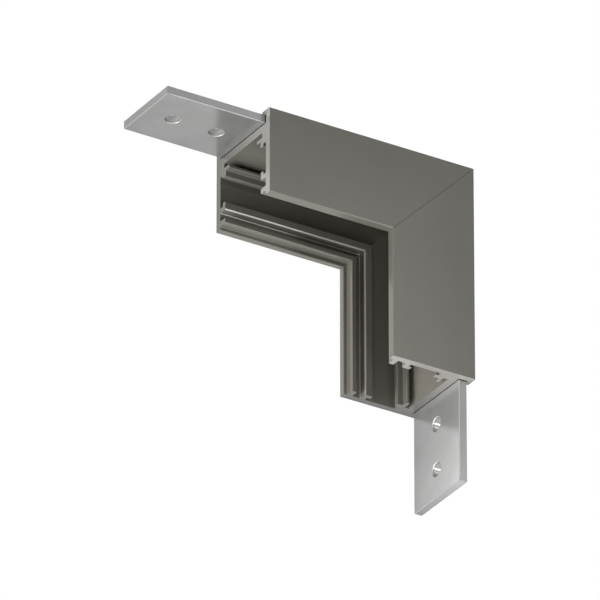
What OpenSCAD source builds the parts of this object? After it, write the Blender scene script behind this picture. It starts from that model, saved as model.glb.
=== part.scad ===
// Right-angle corner connector for a small channel track.
// Two mitred lengths of one extruded profile meet at the outer corner, with both mouths on the
// inside of the corner. A flat joiner plate slides out of each free end, and a corner bracket
// holds the mitre from behind. All three run in the joiner channel along the profile's back.
// The frame sits on the outer corner at mid depth: Z points at the ceiling that the upper leg
// lies against, X at the wall that the lower leg lies against, and Y runs across the profile.

/* [Corner] */
// Length of each leg along its back, from the outer corner to its cut end
leg_length = 65; // [60:1:200]
// Gap left between the two mitred faces
mitre_gap = 0.04; // [0.02:0.02:0.3]

/* [Profile] */
// Width of the profile over both side walls
profile_w = 27.5; // [24:0.5:60]
// Height of the profile from its back to its mouth
profile_h = 26; // [24:0.5:40]
// Thickness of each side wall
wall_t = 2; // [1.4:0.1:3]
// Thickness of the web between the joiner channel and the track channel
web_t = 2.25; // [1.6:0.05:3]
// Radius on the profile's outside edges
edge_r = 0.3; // [0.1:0.05:0.5]
// Radius in the profile's inside corners
root_r = 0.25; // [0.1:0.05:0.4]

/* [Joiner channel] */
// Thickness of the lips that close the joiner channel
lip_t = 1.3; // [1:0.1:2]
// Reach of each lip past the side wall
lip_reach = 1.9; // [1:0.1:4]
// Clear height of the joiner channel between lips and web
channel_h = 2.75; // [2.6:0.05:4]

/* [Claw under the web] */
// Clear height of the steel strip's slot under the web
strip_slot_h = 1.45; // [1:0.05:2]
// Thickness of the shoulder beside the steel strip's slot
shoulder_t = 1.95; // [1.3:0.05:3]
// Thickness of the shelf that carries the steel strip
shelf_t = 0.95; // [0.7:0.05:1.5]
// Reach of the shelf past the side wall
shelf_reach = 4.6; // [3.6:0.1:6]
// Depth of solid claw under the shelf, above the conductor slot
claw_root_h = 1.05; // [0.7:0.05:2]
// Thickness of the claw's hanging leg
claw_leg_t = 1.5; // [1:0.1:2]
// Length of the claw's leg below the top of the conductor slot
claw_leg_h = 0.85; // [0.6:0.05:2]

/* [Conductor slots and ribs] */
// Width of the two facing slots that hold a conductor strip
conductor_slot_w = 1.25; // [0.8:0.05:2]
// Thickness of the lower hook's prong
prong_t = 1.3; // [0.8:0.05:1.6]
// Height of the prong above its stem
prong_h = 1.05; // [0.6:0.05:2]
// Thickness of the lower hook's stem
stem_t = 1.4; // [1:0.05:2]
// Radius on the hook's lower inner edge
hook_r = 0.5; // [0.2:0.05:0.6]
// Clear height of the groove between hook and mouth rib
groove_h = 2.6; // [1.5:0.1:3]
// Thickness of the rib beside the mouth
mouth_rib_t = 1.5; // [1:0.1:2]
// Distance from the mouth to that rib
mouth_inset = 1.2; // [0.8:0.1:2]

/* [Joiner plates] */
// Length of a joiner plate, half of which stands out of the profile
plate_length = 61.4; // [48:0.2:62]
// Play between a plate's edge and the side wall, on each side
plate_side_play = 0.25; // [0.1:0.05:0.6]
// Play between a plate and the lips, against which its screws press it
plate_lip_play = 0.1; // [0.05:0.05:0.4]
// Gap that the screws open between a plate and the web
plate_web_gap = 0.15; // [0.05:0.05:0.4]
// Diameter of the screw holes, at the core of their thread
hole_d = 4.2; // [3.6:0.1:6]
// Distance between the two holes in each half of a plate
hole_pitch = 13.7; // [8:0.1:16]
// Bevel along a plate's edges
plate_bevel = 0.2; // [0.1:0.05:0.5]
// Bevel round a hole's rims
hole_bevel = 0.15; // [0.1:0.05:0.4]

/* [Corner bracket] */
// Gap along the channel between a joiner plate and the bracket
bracket_gap = 4.6; // [1:0.1:6]
// Radius on the bracket's outer corner
bracket_r = 1; // [0.3:0.1:1.5]

/* [Set screws] */
// How far a set screw's top lies below the profile's back
screw_recess = 0.4; // [0.1:0.05:0.8]
// Play between a screw and its hole, on the radius
screw_play = 0.05; // [0.02:0.01:0.1]
// Width across the flats of the hexagon socket
socket_af = 2.5; // [1.5:0.1:3]
// Depth of the hexagon socket
socket_depth = 1.8; // [1:0.1:2.2]
// Diameter of the cup at the screw's tip
cup_d = 2.4; // [1:0.1:3]
// Depth of the cup at the screw's tip
cup_depth = 0.6; // [0.3:0.1:1]
// Bevel at both ends of the screw
screw_bevel = 0.4; // [0.1:0.05:0.6]

/* [Hidden] */

// How far a cut runs past what it cuts
overrun = 1;
// Sides of the small rounds and of the bores
round_fn = 32;
bore_fn = 64;
hexagon_fn = 6;

half_w = profile_w / 2;
web_top = -(lip_t + channel_h);
web_bottom = web_top - web_t;
shelf_top = web_bottom - strip_slot_h;
shelf_bottom = shelf_top - shelf_t;
slot_top = shelf_bottom - claw_root_h;
claw_tip = slot_top - claw_leg_h;
slot_face = wall_t + conductor_slot_w;
hook_face = slot_face + prong_t;
mouth_rib_bottom = mouth_inset - profile_h;
mouth_rib_top = mouth_rib_bottom + mouth_rib_t;
stem_bottom = mouth_rib_top + groove_h;
stem_top = stem_bottom + stem_t;
prong_top = stem_top + prong_h;

mitre_shift = mitre_gap / sqrt(2);

plate_half = plate_length / 2;
plate_w = profile_w - wall_t - wall_t - plate_side_play - plate_side_play;
plate_t = channel_h - plate_lip_play - plate_web_gap;
plate_bottom = web_top + plate_web_gap;
plate_top = plate_bottom + plate_t;
hole_inset = (plate_half - hole_pitch) / 2;
hole_r = hole_d / 2;
screw_r = hole_r - screw_play;
screw_length = -screw_recess - web_top;
arm_end = plate_half + bracket_gap - leg_length;
bracket_hole_shares = [0.235, 0.765];
bracket_holes = [for (share = bracket_hole_shares) arm_end + share * (plate_bottom - arm_end)];

profile_colour = [0.47, 0.45, 0.42];
plate_colour = [0.72, 0.72, 0.71];
screw_colour = [0.55, 0.55, 0.56];

// Swaps X and Z: the lower leg is the upper one seen across the mitre.
module across_mitre() {
    mirror([1, 0, -1]) children();
}

// Rectangle between two opposite corners
module block(low, high) {
    translate(low) square(high - low);
}

// The same with all four corners rounded
module slab(low, high, r) {
    block(low + [r, 0], high - [r, 0]);
    block(low + [0, r], high - [0, r]);
    for (x = [low.x + r, high.x - r], y = [low.y + r, high.y - r])
        translate([x, y]) circle(r = r, $fn = round_fn);
}

// Rounds out an inside corner; way gives the side of the corner, along each axis, that is open.
module fillet(corner, way, r) {
    translate(corner) mirror([way.x < 0 ? 1 : 0, 0]) mirror([0, way.y < 0 ? 1 : 0])
        difference() {
            translate([-r, -r]) square(r + r);
            translate([r, r]) circle(r = r, $fn = round_fn);
        }
}

// One half of the section. X runs inwards from the side wall's outer face, and Y = 0 is the back.
module half_section() {
    slab([0, -profile_h], [wall_t, 0], edge_r);
    slab([0, -lip_t], [wall_t + lip_reach, 0], edge_r);
    block([wall_t / 2, web_bottom], [half_w, web_top]);
    claw();
    lower_hook();
    slab([0, mouth_rib_bottom], [hook_face, mouth_rib_top], edge_r);
    fillet([wall_t, -lip_t], [1, -1], root_r);
    fillet([wall_t, mouth_rib_bottom], [1, -1], root_r);
}

// Shoulder, shelf and hanging leg under the web
module claw() {
    block([wall_t / 2, shelf_bottom], [wall_t + shoulder_t, web_bottom + web_t / 2]);
    slab([wall_t / 2, shelf_bottom], [wall_t + shelf_reach, shelf_top], edge_r);
    block([wall_t / 2, slot_top], [slot_face + claw_leg_t, shelf_top - shelf_t / 2]);
    slab([slot_face, claw_tip], [slot_face + claw_leg_t, shelf_top], edge_r);
    fillet([slot_face + claw_leg_t, shelf_bottom], [1, -1], root_r);
}

// Stem and upright prong that hold the conductor strip's lower edge
module lower_hook() {
    slab([0, stem_bottom], [hook_face, stem_top], hook_r);
    slab([slot_face, stem_bottom + stem_t / 2], [hook_face, prong_top], edge_r);
    block([wall_t / 2, stem_bottom + stem_t / 2], [hook_face, stem_top]);
    fillet([wall_t, stem_bottom], [1, -1], root_r);
}

module section() {
    for (side = [0, 1])
        mirror([side, 0]) translate([-half_w, 0]) half_section();
}

// Side view of a leg: square at its free end, cut at 45 degrees at the corner
module mitred_outline() {
    polygon([
        [-leg_length, overrun],
        [overrun - mitre_shift, overrun],
        [-profile_h - overrun - mitre_shift, -profile_h - overrun],
        [-leg_length, -profile_h - overrun]
    ]);
}

module leg_channel() {
    intersection() {
        translate([-leg_length - overrun, 0, 0]) rotate([90, 0, 90])
            linear_extrude(leg_length + overrun + overrun) section();
        rotate([90, 0, 0]) linear_extrude(profile_w + overrun + overrun, center = true)
            mitred_outline();
    }
}

module upper_channel() {
    color(profile_colour) leg_channel();
}

module lower_channel() {
    color(profile_colour) across_mitre() leg_channel();
}

// Rectangle with bevelled corners, centred across Y
module bevelled(low, high, bevel) {
    polygon([
        [low.x + bevel, low.y], [high.x - bevel, low.y],
        [high.x, low.y + bevel], [high.x, high.y - bevel],
        [high.x - bevel, high.y], [low.x + bevel, high.y],
        [low.x, high.y - bevel], [low.x, low.y + bevel]
    ]);
}

// Cutter for a bevelled hole through a plate whose faces lie at plate_bottom and plate_top
module plate_hole() {
    flare = hole_r + hole_bevel + overrun;
    depth = hole_bevel + overrun;
    translate([0, 0, plate_bottom - overrun])
        cylinder(h = plate_t + overrun + overrun, r = hole_r, $fn = bore_fn);
    translate([0, 0, plate_top - hole_bevel])
        cylinder(h = depth, r1 = hole_r, r2 = flare, $fn = bore_fn);
    translate([0, 0, plate_bottom - overrun])
        cylinder(h = depth, r1 = flare, r2 = hole_r, $fn = bore_fn);
}

// Flat bar with bevelled edges, half in the channel and half out
module joiner_plate() {
    low = [-leg_length - plate_half, -plate_w / 2, plate_bottom];
    high = [-leg_length + plate_half, plate_w / 2, plate_top];
    difference() {
        intersection() {
            rotate([90, 0, 0]) linear_extrude(plate_w, center = true)
                bevelled([low.x, low.z], [high.x, high.z], plate_bevel);
            translate([low.x, 0, 0]) rotate([90, 0, 90]) linear_extrude(plate_length)
                bevelled([low.y, low.z], [high.y, high.z], plate_bevel);
            translate([0, 0, low.z]) linear_extrude(plate_t)
                bevelled([low.x, low.y], [high.x, high.y], plate_bevel);
        }
        for (side = [-1, 1], place = [hole_inset, hole_inset + hole_pitch])
            translate([side * place - leg_length, 0, 0]) plate_hole();
    }
}

module upper_joiner_plate() {
    color(plate_colour) joiner_plate();
}

module lower_joiner_plate() {
    color(plate_colour) across_mitre() joiner_plate();
}

// Extruded angle with a sharp inside corner, which wraps the mitred corner of the web
module corner_bracket() {
    color(plate_colour) difference() {
        rotate([90, 0, 0]) linear_extrude(plate_w, center = true) {
            block([arm_end, plate_bottom], [plate_top - bracket_r, plate_top]);
            block([plate_bottom, arm_end], [plate_top, plate_top - bracket_r]);
            translate([plate_top - bracket_r, plate_top - bracket_r])
                circle(r = bracket_r, $fn = round_fn);
        }
        for (place = bracket_holes) {
            translate([place, 0, 0]) plate_hole();
            across_mitre() translate([place, 0, 0]) plate_hole();
        }
    }
}

// Short set screw that stands on the web, with a hexagon socket above and a cup below
module set_screw() {
    translate([0, 0, web_top]) difference() {
        rotate_extrude($fn = bore_fn) polygon([
            [0, cup_depth], [cup_d / 2, 0], [screw_r - screw_bevel, 0], [screw_r, screw_bevel],
            [screw_r, screw_length - screw_bevel], [screw_r - screw_bevel, screw_length],
            [0, screw_length]
        ]);
        translate([0, 0, screw_length - socket_depth]) rotate([0, 0, 90 / hexagon_fn])
            cylinder(h = socket_depth + overrun, r = socket_af / 2 / cos(180 / hexagon_fn), $fn = hexagon_fn);
    }
}

// The two screws in the half of a plate that lies in the channel
module plate_screws() {
    for (place = [hole_inset, hole_inset + hole_pitch])
        translate([place - leg_length, 0, 0]) set_screw();
}

module upper_plate_screws() {
    color(screw_colour) plate_screws();
}

module lower_plate_screws() {
    color(screw_colour) across_mitre() plate_screws();
}

module corner_bracket_screws() {
    color(screw_colour) for (place = bracket_holes) {
        translate([place, 0, 0]) set_screw();
        across_mitre() translate([place, 0, 0]) set_screw();
    }
}

upper_channel();
lower_channel();
upper_joiner_plate();
lower_joiner_plate();
corner_bracket();
upper_plate_screws();
lower_plate_screws();
corner_bracket_screws();
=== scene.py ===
import math

import bmesh
import bpy
from mathutils import Matrix, Vector


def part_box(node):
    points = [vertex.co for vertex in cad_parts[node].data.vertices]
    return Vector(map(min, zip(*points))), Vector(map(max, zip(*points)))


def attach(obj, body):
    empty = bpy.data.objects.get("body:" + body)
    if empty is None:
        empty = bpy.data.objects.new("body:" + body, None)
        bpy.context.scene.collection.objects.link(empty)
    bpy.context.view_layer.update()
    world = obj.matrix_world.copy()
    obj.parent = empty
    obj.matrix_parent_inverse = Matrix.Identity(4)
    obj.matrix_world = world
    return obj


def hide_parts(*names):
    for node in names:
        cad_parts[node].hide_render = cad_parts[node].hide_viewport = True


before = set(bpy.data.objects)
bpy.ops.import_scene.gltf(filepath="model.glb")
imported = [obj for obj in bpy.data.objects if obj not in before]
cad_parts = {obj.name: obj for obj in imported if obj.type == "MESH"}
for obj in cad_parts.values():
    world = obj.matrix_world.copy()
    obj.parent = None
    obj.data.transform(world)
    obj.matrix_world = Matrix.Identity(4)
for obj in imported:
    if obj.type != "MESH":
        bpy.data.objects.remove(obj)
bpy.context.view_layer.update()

# The part's planes, in metres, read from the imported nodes, and two sizes of the channel's section
MM = 0.001
LOW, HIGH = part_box("upper_channel")
MIDDLE = (LOW.y + HIGH.y) / 2
PLATE_LOW, PLATE_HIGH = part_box("upper_joiner_plate")
PLATE_END = PLATE_LOW.x
PLATE_HALF = (PLATE_HIGH.y - PLATE_LOW.y) / 2
WALL_THICKNESS = 2 * MM
WEB_DEPTH = 6.3 * MM

# Camera: heading and rise of the view direction in degrees, and a point by the part on the view axis.
# The focal length is given for the photograph's 600 pixels.
HEADING = 31.5905
RISE = 28.6507
AIM = Vector((-40.84, 10.02, -41.29)) * MM
CAMERA_DISTANCE = 3235.4 * MM
FOCAL_PIXELS = 11994.8
FRAME_PIXELS = 600
SENSOR_WIDTH = 36
CLIP_START = 0.1
CLIP_END = 20.0

# Finishes: linear colours, and the share of each that shines as bare metal
ANODISED = (0.158, 0.149, 0.129)
# Colour of the painted highlight on the hooks' edges, scaled on each leg
HOOK_HIGHLIGHT_SKIN = (0.146, 0.144, 0.138)
# Bare sawn metal at the cut end, with painted light at the front wall's end and painted shade at the back
# wall's end
CUT_METAL_PAINTED_LIGHT = (0.315, 0.308, 0.287)
CUT_METAL_PAINTED_SHADE = (0.11, 0.107, 0.1)
MILL_FINISH = (0.3, 0.3, 0.297)
# Painted highlight on the plates' bevels
BEVEL_PAINTED_HIGHLIGHT = (0.37, 0.37, 0.365)
BORED_METAL = (0.34, 0.34, 0.336)
ZINC = (0.42, 0.43, 0.45)
ANODISED_METALLIC = 0.25
MILL_METALLIC = 0.5
ZINC_METALLIC = 0.8

# How far a finish's colour strays either way, and the share of it that the zinc's blotches keep
CLOUD_SPREAD = 0.03
SAW_SPREAD = 0.07
BLOTCH_SHARE = 0.85
# Lowest and highest factor that the clouds give the mill finish, and what the mottling adds to it
MILL_CLOUDS = (0.9, 1.0)
MILL_MOTTLING = (0.0, 0.08)

# Lowest and highest roughness, what the brushing adds to it, and the least roughness of a bevel
SKIN_ROUGHNESS = (0.2, 0.26)
MILL_ROUGHNESS = (0.16, 0.2)
BRUSH_ROUGHNESS = (0.0, 0.04)
ZINC_ROUGHNESS = (0.25, 0.4)
BEVEL_ROUGHNESS = 0.5
# Height of the relief, and the share of it that the die lines have beside the saw marks
SKIN_RELIEF = 0.002 * MM
MILL_RELIEF = 0.0007 * MM
ZINC_RELIEF = 0.004 * MM
DIE_LINE_SHARE = 0.5

# Noise: features per metre along the leg, across it and out of its back
DIE_LINES = (12, 2600, 2600)
SKIN_CLOUDS = (60, 90, 90)
SAW_MARKS = (200, 400, 5200)
MILL_CLOUD_SIZES = (70, 90, 90)
MILL_MOTTLES = (160, 240, 240)
BLOTCHES = (900, 900, 900)
# Brushing runs along the bars, and across the legs on the bracket, which was cut from an extruded angle
BAR_BRUSHING = (25, 3000, 3000)
ANGLE_BRUSHING = (3000, 25, 3000)
# Most of the values of a noise texture lie between these two. The second pair gives sharper blotches.
NOISE_RANGE = (0.3, 0.7)
BLOTCH_RANGE = (0.35, 0.65)

# Which faces a tone or a finish takes. FACE_REACH is the greatest distance from a face's plane, and
# SAWN_REACH that from the leg's free end. BEVEL_FACING says how squarely a bevel looks out of the
# leg's back, as a middle value and its reach, and HOLE_FACING how squarely a hole's wall does at most.
FACE_REACH = 0.08 * MM
SAWN_REACH = 0.03 * MM
BEVEL_FACING = (0.55, 0.42)
HOLE_FACING = 0.13
# Painted highlight along the edge of the hooks on the walls: the least and greatest depth below the leg's
# back
HOOK_HIGHLIGHT_DEPTH = (20.38 * MM, 20.97 * MM)
# Painted light and shade on each leg, as factors on the skin's colour: a painted highlight at the hooks'
# edges, and painted shade or light on the walls' inner faces and on the web's inner face
UPPER_PAINTED_LIGHT = {"hook": 2.9, "wall": 0.76, "web": 0.96}
LOWER_PAINTED_LIGHT = {"hook": 1.9, "wall": 0.96, "web": 1.22}
# Painted light and shade on the walls' outer faces of both legs: lighter at the mouth, darker at the back
OUTER_WALL_PAINTED_LIGHT = (1.13, 0.95)
# Shadow line beside the mitre: how far it reaches along each leg, and the share of colour left there
SEAM_WIDTH = 0.09 * MM
SEAM_SHARE = 0.35
# Shadow line on a plate where it enters the channel: its reach either way, and its share of colour
ENTRY_REACH = 0.2 * MM
ENTRY_SHARE = 0.25
# Painted light and shade on the bracket and the plates, as factors on their colour: at the front and the
# back edge, at the plates' free end and on their narrow sides
BRACKET_PAINTED_LIGHT = {"front": 1.0, "back": 0.97, "end": 1.0, "side": 1.0}
UPPER_PLATE_PAINTED_LIGHT = {"front": 0.96, "back": 0.82, "end": 0.95, "side": 1.2}
LOWER_PLATE_PAINTED_LIGHT = {"front": 1.3, "back": 0.66, "end": 1.22, "side": 0.79}
# How far the free end's painted tone reaches, and the share of the bevels' painted highlight that is left
# at the end
END_PAINTED_LIGHT_REACH = 16 * MM
END_BEVEL_HIGHLIGHT_SHARE = 0.6
# Region of a plate's holes: its half width about the middle line, and where it starts from the free
# end. On that way from the end the bevels also gain their full painted highlight.
HOLE_REGION_HALF = 9 * MM
RIM_REACH = 2 * MM

# Set screws: M5 thread, hexagon socket and cup tip
SCREW_NODES = ("upper_plate_screws", "lower_plate_screws", "corner_bracket_screws")
THREAD_PITCH = 0.8 * MM
THREAD_DEPTH = 0.42 * MM
THREAD_CREST_SHARE = 0.14
RINGS_PER_PITCH = 8
SCREW_SIDES = 48
SCREW_BEVEL = 0.4 * MM
SOCKET_AF = 2.5 * MM
SOCKET_DEPTH = 1.8 * MM
SOCKET_LEAD_IN = 0.12 * MM
CUP_R = 1.2 * MM
CUP_DEPTH = 0.6 * MM
# Edges with a greater angle in degrees stay sharp
SHARP_ANGLE = 32
# Points nearer than this are one, and places are rounded to so many decimals of a metre for sorting
WELD = 0.001 * MM
SORT_DIGITS = 5

# Stage, in metres. The world has a radiance of 1 where it is seen and of SOFT_WORLD as a light.
FLOOR_Z = -3.0
FLOOR_SIZE = 16.0
PALE = (0.86, 0.86, 0.85, 1)
WHITE = (1, 1, 1, 1)
SOFT_WORLD = 0.1

# Lamps: where the light comes from, seen from the part, its distance, the width and height of its
# oval face in metres, and the radiance of that face. The two near lamps give the walls and the faces
# that look down their soft change of brightness.
LAMPS = {
    "lamp_key": dict(way=(-0.88, -0.05, -0.47), distance=1.2, width=1.0, height=0.5, radiance=13.5),
    "lamp_key_back": dict(way=(-0.62, 0.3, -0.72), distance=1.2, width=0.8, height=0.6, radiance=7.0),
    "lamp_front": dict(way=(0.53, -0.68, -0.5), distance=1.2, width=0.5, height=0.5, radiance=5.0),
    "lamp_strip": dict(way=(0.46, -0.86, 0.23), distance=1.2, width=0.15, height=0.5, radiance=3.7),
    "lamp_near_low": dict(way=(-0.16, -0.5, -0.85), distance=0.13, width=0.04, height=0.04, radiance=12.5),
    "lamp_near_front": dict(way=(-0.28, -0.85, -0.45), distance=0.3, width=0.26, height=0.26, radiance=1.1),
    "lamp_back_high": dict(way=(0.32, 0.62, 0.72), distance=1.2, width=0.9, height=0.9, radiance=2.8),
}


def view_direction():
    """From the camera to the part"""
    heading, rise = math.radians(HEADING), math.radians(RISE)
    return Vector((math.sin(heading) * math.cos(rise), math.cos(heading) * math.cos(rise), math.sin(rise)))


def add_camera():
    data = bpy.data.cameras.new("camera")
    camera = bpy.data.objects.new("camera", data)
    bpy.context.scene.collection.objects.link(camera)
    ahead = view_direction()
    camera.location = AIM - ahead * CAMERA_DISTANCE
    camera.rotation_mode = "QUATERNION"
    camera.rotation_quaternion = ahead.to_track_quat("-Z", "Y")
    data.sensor_width = SENSOR_WIDTH
    data.lens = FOCAL_PIXELS / FRAME_PIXELS * SENSOR_WIDTH
    data.clip_start = CLIP_START
    data.clip_end = CLIP_END
    bpy.context.scene.camera = camera


# Shader building
class Nodes:
    """Adds nodes to one node tree. A value given for a socket is set there, and a socket is linked."""

    def __init__(self, tree):
        self.tree = tree
        tree.nodes.clear()

    def add(self, kind, sockets=None, **settings):
        node = self.tree.nodes.new(kind)
        for name, value in settings.items():
            setattr(node, name, value)
        for name, value in (sockets or {}).items():
            self.feed(node.inputs[name], value)
        return node

    def feed(self, socket, value):
        if isinstance(value, bpy.types.NodeSocket):
            self.tree.links.new(value, socket)
        else:
            socket.default_value = value

    def math(self, operation, *values):
        return self.add("ShaderNodeMath", dict(enumerate(values)), operation=operation).outputs[0]

    def product(self, first, *others):
        for other in others:
            first = self.math("MULTIPLY", first, other)
        return first

    def distance(self, first, second):
        return self.math("ABSOLUTE", self.math("SUBTRACT", first, second))

    def mix(self, factor, first, second):
        node = self.add("ShaderNodeMix", data_type="RGBA")
        self.feed(node.inputs["Factor"], factor)
        for socket, value in ((node.inputs[6], first), (node.inputs[7], second)):
            self.feed(socket, value if isinstance(value, bpy.types.NodeSocket) else (*value, 1))
        return node.outputs[2]

    def ramp(self, value, low, high, to_low=0.0, to_high=1.0):
        sockets = {"Value": value, "From Min": low, "From Max": high, "To Min": to_low, "To Max": to_high}
        return self.add("ShaderNodeMapRange", sockets, clamp=True).outputs["Result"]

    def spread(self, noise, to_low=0.0, to_high=1.0):
        """Noise stretched over a range"""
        return self.ramp(noise, *NOISE_RANGE, to_low, to_high)

    def where(self, mask, factor):
        """The factor where the mask is 1, and 1 where it is 0"""
        return self.math("POWER", factor, mask)

    def toned(self, colour, tone):
        return self.add("ShaderNodeVectorMath", {0: colour, "Scale": tone}, operation="SCALE").outputs[0]


def new_material(name):
    material = bpy.data.materials.new(name)
    material.use_nodes = True
    return material, Nodes(material.node_tree)


def leg_axes(nodes, upright):
    """Position along the leg, across it and out of its back. The lower leg is the upper one seen
    across the mitre, so X and Z change places there."""
    position = nodes.add("ShaderNodeTexCoord").outputs["Object"]
    split = nodes.add("ShaderNodeSeparateXYZ", {"Vector": position})
    along, out = ("Z", "X") if upright else ("X", "Z")
    return split.outputs[along], split.outputs["Y"], split.outputs[out]


def grain(nodes, axes, scales, detail=3.0):
    """Noise stretched by its own scale, in features per metre, along each of the leg's axes"""
    scaled = [nodes.math("MULTIPLY", axis, scale) for axis, scale in zip(axes, scales)]
    vector = nodes.add("ShaderNodeCombineXYZ", dict(enumerate(scaled))).outputs[0]
    return nodes.add("ShaderNodeTexNoise", {"Vector": vector, "Scale": 1.0, "Detail": detail}).outputs[0]


def seam(nodes, along, out):
    """1 at the mitre and 0 a seam's width from it"""
    return nodes.ramp(nodes.distance(along, out), SEAM_WIDTH / 2, SEAM_WIDTH, 1.0, 0.0)


def facing_out(nodes, upright):
    """How squarely a face looks out of the leg's back or away from it, from 0 to 1"""
    normal = nodes.add("ShaderNodeTexCoord").outputs["Normal"]
    split = nodes.add("ShaderNodeSeparateXYZ", {"Vector": normal})
    return nodes.math("ABSOLUTE", split.outputs["X" if upright else "Z"])


def slanting(nodes, upright):
    """1 on bevels and roundings that face neither out of the leg's back nor square to it"""
    return nodes.math("COMPARE", facing_out(nodes, upright), *BEVEL_FACING)


def bored(nodes, axes, upright):
    """1 on the walls of a plate's holes: square to the plate and away from its rim"""
    wall = nodes.math("LESS_THAN", facing_out(nodes, upright), HOLE_FACING)
    beside_middle = nodes.math("COMPARE", axes[1], MIDDLE, HOLE_REGION_HALF)
    past_end = nodes.math("GREATER_THAN", axes[0], PLATE_END + RIM_REACH)
    return nodes.product(wall, beside_middle, past_end)


def painted_light_by_face(nodes, axes, painted_light):
    """Painted light and shade as a factor on the skin's colour on the walls' outer faces, their inner faces
    and the web's inner face
    """
    half_width = (HIGH.y - LOW.y) / 2
    half_inside = half_width - WALL_THICKNESS
    from_middle = nodes.distance(axes[1], MIDDLE)
    on_outer = nodes.math("GREATER_THAN", from_middle, half_width - FACE_REACH)
    on_inner = nodes.math("COMPARE", from_middle, half_inside, FACE_REACH)
    at_web = nodes.math("COMPARE", axes[2], HIGH.z - WEB_DEPTH, FACE_REACH)
    between_walls = nodes.math("LESS_THAN", from_middle, half_inside)
    return nodes.product(
        nodes.where(on_outer, nodes.ramp(axes[2], LOW.z, HIGH.z, *OUTER_WALL_PAINTED_LIGHT)),
        nodes.where(on_inner, painted_light["wall"]),
        nodes.where(nodes.product(at_web, between_walls), painted_light["web"]),
    )


def share(colour, part):
    return [c * part for c in colour]


def around(colour, spread):
    """The same colour a little darker and a little lighter"""
    return share(colour, 1 - spread), share(colour, 1 + spread)


def metal(nodes, colour, metallic, roughness, height, relief):
    bump = nodes.add("ShaderNodeBump", {"Height": height, "Strength": 1.0, "Distance": relief})
    shader = nodes.add("ShaderNodeBsdfPrincipled", {
        "Base Color": colour, "Metallic": metallic, "Roughness": roughness, "Normal": bump.outputs[0],
    })
    nodes.add("ShaderNodeOutputMaterial", {"Surface": shader.outputs[0]})


def channel_material(name, upright, painted_light):
    """Satin anodised extrusion with faint die lines along it, and bare sawn metal at its cut end. The cut
    end has painted light at the front and painted shade at the back, and the skin has painted light and
    shade by face and a painted highlight on the hooks' edges
    """
    material, nodes = new_material(name)
    axes = leg_axes(nodes, upright)
    along, across, out = axes
    die_lines = grain(nodes, axes, DIE_LINES)
    clouds = grain(nodes, axes, SKIN_CLOUDS)
    saw_marks = grain(nodes, axes, SAW_MARKS, detail=2.0)
    cut = nodes.math("LESS_THAN", along, LOW.x + SAWN_REACH)
    skin = nodes.mix(nodes.spread(clouds), *around(ANODISED, CLOUD_SPREAD))
    # Painted light and shade on the skin, by face
    skin = nodes.toned(skin, painted_light_by_face(nodes, axes, painted_light))
    # Painted highlight along the hooks' rounded edges
    top, bottom = (HIGH.z - depth for depth in HOOK_HIGHLIGHT_DEPTH)
    at_hook = nodes.math("COMPARE", out, (top + bottom) / 2, (top - bottom) / 2)
    hook_edge = nodes.product(at_hook, slanting(nodes, upright))
    skin = nodes.mix(hook_edge, skin, share(HOOK_HIGHLIGHT_SKIN, painted_light["hook"]))
    joint = seam(nodes, along, out)
    skin = nodes.mix(joint, skin, share(ANODISED, SEAM_SHARE))
    marks = nodes.spread(saw_marks)
    # Sawn end: painted light at the front wall, painted shade towards the back wall
    front = nodes.mix(marks, *around(CUT_METAL_PAINTED_LIGHT, SAW_SPREAD))
    back = nodes.mix(marks, *around(CUT_METAL_PAINTED_SHADE, SAW_SPREAD))
    sawn = nodes.mix(nodes.ramp(across, LOW.y, HIGH.y), front, back)
    colour = nodes.mix(cut, skin, sawn)
    roughness = nodes.math("MAXIMUM", nodes.spread(die_lines, *SKIN_ROUGHNESS), joint)
    height = nodes.math("ADD", nodes.product(die_lines, DIE_LINE_SHARE), nodes.product(saw_marks, cut))
    metal(nodes, colour, ANODISED_METALLIC, roughness, height, SKIN_RELIEF)
    return material


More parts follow.
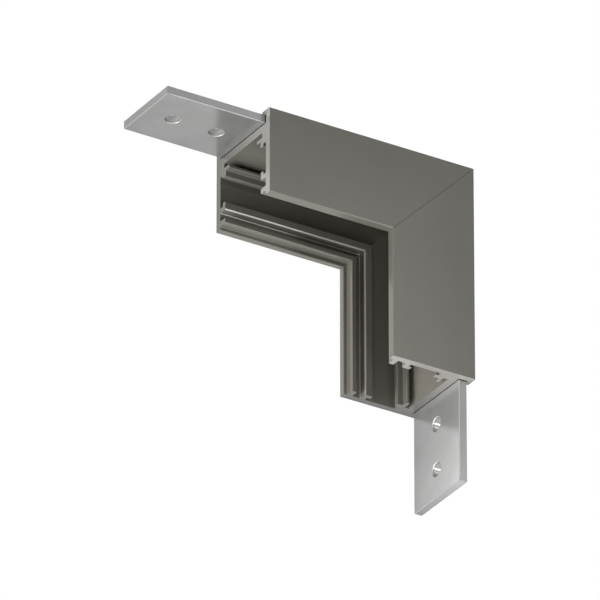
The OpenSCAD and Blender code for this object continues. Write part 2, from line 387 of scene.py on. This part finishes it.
def plate_material(name, upright, brush_scales, painted_light):
    """Plain mill finish with soft clouds, lightly brushed. Painted light and shade change its tone from
    front to back, towards the free end and on the narrow sides, and its bevels carry a painted highlight."""
    material, nodes = new_material(name)
    axes = leg_axes(nodes, upright)
    along, across, _ = axes
    brushing = grain(nodes, axes, brush_scales)
    clouds = grain(nodes, axes, MILL_CLOUD_SIZES, detail=1.0)
    mottling = grain(nodes, axes, MILL_MOTTLES, detail=2.0)
    on_side = nodes.math("GREATER_THAN", nodes.distance(across, MIDDLE), PLATE_HALF - FACE_REACH)
    # The clouds are the finish's own; the factors across, along and on the narrow sides are painted light
    # and shade
    clouds_and_painted_shade = nodes.product(
        nodes.math("ADD", nodes.spread(clouds, *MILL_CLOUDS), nodes.spread(mottling, *MILL_MOTTLING)),
        nodes.ramp(across, LOW.y, HIGH.y, painted_light["front"], painted_light["back"]),
        nodes.ramp(along, PLATE_END, PLATE_END + END_PAINTED_LIGHT_REACH, painted_light["end"], 1.0),
        nodes.where(on_side, painted_light["side"]),
    )
    # Bevels take a painted highlight, fainter towards the free end
    bevel = slanting(nodes, upright)
    bevel_highlight_share = nodes.ramp(along, PLATE_END, PLATE_END + RIM_REACH, END_BEVEL_HIGHLIGHT_SHARE, 1.0)
    colour = nodes.mix(bevel, nodes.toned(MILL_FINISH, clouds_and_painted_shade), nodes.toned(BEVEL_PAINTED_HIGHLIGHT, bevel_highlight_share))
    colour = nodes.mix(bored(nodes, axes, upright), colour, BORED_METAL)
    entry = nodes.math("LESS_THAN", nodes.distance(along, LOW.x), ENTRY_REACH)
    colour = nodes.mix(entry, colour, share(MILL_FINISH, ENTRY_SHARE))
    brushed = nodes.spread(brushing, *BRUSH_ROUGHNESS)
    flat_roughness = nodes.math("ADD", brushed, nodes.spread(clouds, *MILL_ROUGHNESS))
    roughness = nodes.math("MAXIMUM", flat_roughness, nodes.product(bevel, BEVEL_ROUGHNESS))
    metal(nodes, colour, MILL_METALLIC, roughness, brushing, MILL_RELIEF)
    return material


def screw_material(name):
    """Bright zinc plate with fine blotches"""
    material, nodes = new_material(name)
    blotches = grain(nodes, leg_axes(nodes, False), BLOTCHES)
    colour = nodes.mix(nodes.ramp(blotches, *BLOTCH_RANGE), share(ZINC, BLOTCH_SHARE), ZINC)
    metal(nodes, colour, ZINC_METALLIC, nodes.spread(blotches, *ZINC_ROUGHNESS), blotches, ZINC_RELIEF)
    return material


def dress(node_name, material):
    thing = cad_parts[node_name]
    thing.data.materials.clear()
    thing.data.materials.append(material)


def dress_part():
    for node_name, material_name, upright, painted_light in (
        ("upper_channel", "anodised_upper", False, UPPER_PAINTED_LIGHT),
        ("lower_channel", "anodised_lower", True, LOWER_PAINTED_LIGHT),
    ):
        dress(node_name, channel_material(material_name, upright, painted_light))
    for node_name, material_name, upright, brushing, painted_light in (
        ("upper_joiner_plate", "mill_finish_upper", False, BAR_BRUSHING, UPPER_PLATE_PAINTED_LIGHT),
        ("lower_joiner_plate", "mill_finish_lower", True, BAR_BRUSHING, LOWER_PLATE_PAINTED_LIGHT),
        ("corner_bracket", "mill_finish_bracket", False, ANGLE_BRUSHING, BRACKET_PAINTED_LIGHT),
    ):
        dress(node_name, plate_material(material_name, upright, brushing, painted_light))
    zinc = screw_material("zinc")
    for node_name in SCREW_NODES:
        dress(node_name, zinc)
    add_set_screws(zinc)


# Set screws
def solids_of(node_name):
    """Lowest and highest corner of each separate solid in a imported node"""
    welded = bmesh.new()
    welded.from_mesh(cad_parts[node_name].data)
    bmesh.ops.remove_doubles(welded, verts=welded.verts, dist=WELD)
    waiting, found = set(welded.verts), []
    while waiting:
        group, front = set(), [waiting.pop()]
        while front:
            vertex = front.pop()
            group.add(vertex)
            near = {edge.other_vert(vertex) for edge in vertex.link_edges} & waiting
            waiting -= near
            front.extend(near)
        corners = [[pick(v.co[i] for v in group) for i in range(3)] for pick in (min, max)]
        found.append((Vector(corners[0]), Vector(corners[1])))
    welded.free()
    return sorted(found, key=lambda box: (round(box[0].x, SORT_DIGITS), round(box[0].z, SORT_DIGITS)))


def thread_radius(height, turn, length, radius):
    """Radius of the screw's side at a height and a share of a full turn, bevelled at both ends"""
    wave = abs(2 * ((height / THREAD_PITCH - turn) % 1) - 1)
    groove = THREAD_DEPTH * min(1, max(0, (wave - THREAD_CREST_SHARE) / (1 - 2 * THREAD_CREST_SHARE)))
    bevelled = radius - SCREW_BEVEL + min(height, length - height, SCREW_BEVEL)
    return min(radius - groove, bevelled)


def hexagon_radius(turn, across_flats):
    """Distance from the centre of a hexagon to its edge at a share of a full turn"""
    from_flat = (turn * 6) % 1 - 0.5
    return across_flats / 2 / math.cos(from_flat * math.radians(60))


def screw_rings(length, radius):
    """Height and radius rule of each ring, from the tip's cup over the thread to the socket's floor"""
    floor = length - SOCKET_DEPTH
    count = round(length / THREAD_PITCH * RINGS_PER_PITCH)
    heights = [length * k / count for k in range(count + 1)]
    thread = [(h, lambda turn, h=h: thread_radius(h, turn, length, radius)) for h in heights]
    return [
        (CUP_DEPTH, lambda turn: 0),
        (0, lambda turn: CUP_R),
        *thread,
        (length, lambda turn: hexagon_radius(turn, SOCKET_AF) + SOCKET_LEAD_IN),
        (length - SOCKET_LEAD_IN, lambda turn: hexagon_radius(turn, SOCKET_AF)),
        (floor, lambda turn: hexagon_radius(turn, SOCKET_AF)),
        (floor, lambda turn: SOCKET_AF / 2 - SOCKET_LEAD_IN),
        (floor - SOCKET_LEAD_IN, lambda turn: 0),
    ]


def add_set_screw(name, low, high):
    """Threaded screw in the place of a plain packed one. Its axis is the shortest side of the box."""
    size = high - low
    length, radius = min(size), max(size) / 2
    made = bmesh.new()
    turns = [k / SCREW_SIDES for k in range(SCREW_SIDES)]
    rows = []
    for height, rule in screw_rings(length, radius):
        if rule(0) == 0:
            rows.append([made.verts.new((0, 0, height))] * SCREW_SIDES)
            continue
        rows.append([
            made.verts.new((rule(t) * math.cos(t * math.tau), rule(t) * math.sin(t * math.tau), height))
            for t in turns
        ])
    for lower, upper in zip(rows, rows[1:]):
        for k in range(SCREW_SIDES):
            corners = [lower[k - 1], lower[k], upper[k], upper[k - 1]]
            made.faces.new(list(dict.fromkeys(corners)))
    mesh = bpy.data.meshes.new(name)
    made.normal_update()
    made.to_mesh(mesh)
    made.free()
    mesh.shade_smooth()
    mesh.set_sharp_from_angle(angle=math.radians(SHARP_ANGLE))
    foot = Vector(((low.x + high.x) / 2, (low.y + high.y) / 2, low.z))
    turn = Matrix.Identity(4)
    if size.x < size.z:
        foot = Vector((low.x, (low.y + high.y) / 2, (low.z + high.z) / 2))
        turn = Matrix.Rotation(math.radians(90), 4, "Y")
    mesh.transform(Matrix.Translation(foot) @ turn)
    screw = bpy.data.objects.new(name, mesh)
    bpy.context.scene.collection.objects.link(screw)
    return screw


def add_set_screws(material):
    for node_name in SCREW_NODES:
        for k, (low, high) in enumerate(solids_of(node_name), start=1):
            screw = add_set_screw(f"{node_name}_{k}", low, high)
            screw.data.materials.append(material)
            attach(screw, "root")
            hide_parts(node_name)


# Stage
def seen_directly(nodes):
    """1 for rays from the camera, a reflection or a transmission, which all show the background"""
    path = nodes.add("ShaderNodeLightPath")
    found = nodes.math("MAXIMUM", path.outputs["Is Camera Ray"], path.outputs["Is Glossy Ray"])
    return nodes.math("MAXIMUM", found, path.outputs["Is Transmission Ray"])


def white_where_seen(nodes, white_kind, otherwise):
    """White with a strength of 1 where it is seen directly, and another shader for all other rays"""
    white = nodes.add(white_kind, {"Color": WHITE, "Strength": 1.0}).outputs[0]
    return nodes.add("ShaderNodeMixShader", {0: seen_directly(nodes), 1: otherwise, 2: white}).outputs[0]


def add_world():
    world = bpy.data.worlds.new("studio")
    bpy.context.scene.world = world
    world.use_nodes = True
    nodes = Nodes(world.node_tree)
    soft = nodes.add("ShaderNodeBackground", {"Color": WHITE, "Strength": SOFT_WORLD}).outputs[0]
    surface = white_where_seen(nodes, "ShaderNodeBackground", soft)
    nodes.add("ShaderNodeOutputWorld", {"Surface": surface})


def add_floor():
    bpy.ops.mesh.primitive_plane_add(size=FLOOR_SIZE, location=(AIM.x, AIM.y, FLOOR_Z))
    floor = bpy.context.object
    floor.name = "floor"
    material, nodes = new_material("pale_floor")
    paint = nodes.add("ShaderNodeBsdfDiffuse", {"Color": PALE}).outputs[0]
    surface = white_where_seen(nodes, "ShaderNodeEmission", paint)
    nodes.add("ShaderNodeOutputMaterial", {"Surface": surface})
    floor.data.materials.append(material)


def add_lamp(name, way, distance, width, height, radiance):
    data = bpy.data.lights.new(name, "AREA")
    data.shape = "ELLIPSE"
    data.size, data.size_y = width, height
    # A face that shines evenly sends out pi times its area times its radiance
    data.energy = radiance * math.pi * math.pi * width * height / 4
    lamp = bpy.data.objects.new(name, data)
    bpy.context.scene.collection.objects.link(lamp)
    away = Vector(way).normalized()
    lamp.location = AIM + away * distance
    lamp.rotation_mode = "QUATERNION"
    lamp.rotation_quaternion = (-away).to_track_quat("-Z", "Y")
    lamp.visible_camera = False


add_camera()
dress_part()
add_world()
add_floor()
for lamp_name, facts in LAMPS.items():
    add_lamp(lamp_name, **facts)
bpy.context.scene.view_settings.view_transform = "Standard"
